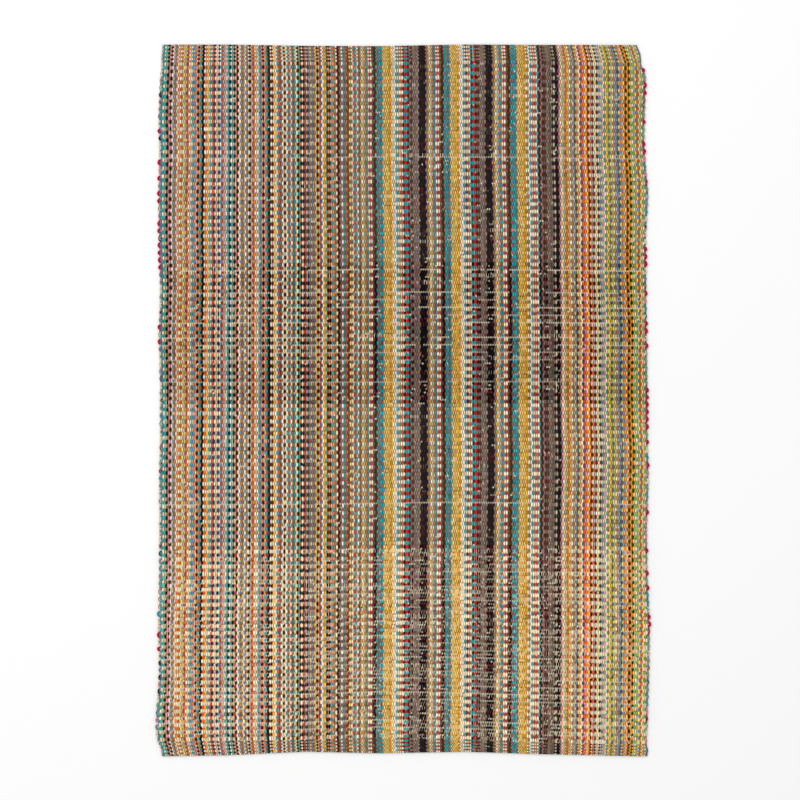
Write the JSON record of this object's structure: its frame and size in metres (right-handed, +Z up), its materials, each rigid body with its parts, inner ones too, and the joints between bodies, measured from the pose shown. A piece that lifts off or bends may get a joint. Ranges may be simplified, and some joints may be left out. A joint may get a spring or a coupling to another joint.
{
  "type": "flatweave rug",
  "caption": "Rectangular handwoven flatweave rug with raised cross ribs, multicolour lengthwise stripes, turned hems and looped side edges.",
  "frame": {"origin": "on the floor plane, under the middle of the cloth's box", "axes": "+X across the rug along its ribs, +Y along the stripes towards the far end, +Z up from the floor"},
  "size_m": [1.2384, 1.7764, 0.0068],
  "materials": {
    "striped_cloth": "dull multicolour cotton yarns, warp-faced weave"
  },
  "bodies": {
    "root": {"rug": "striped_cloth"}
  },
  "joints": []
}
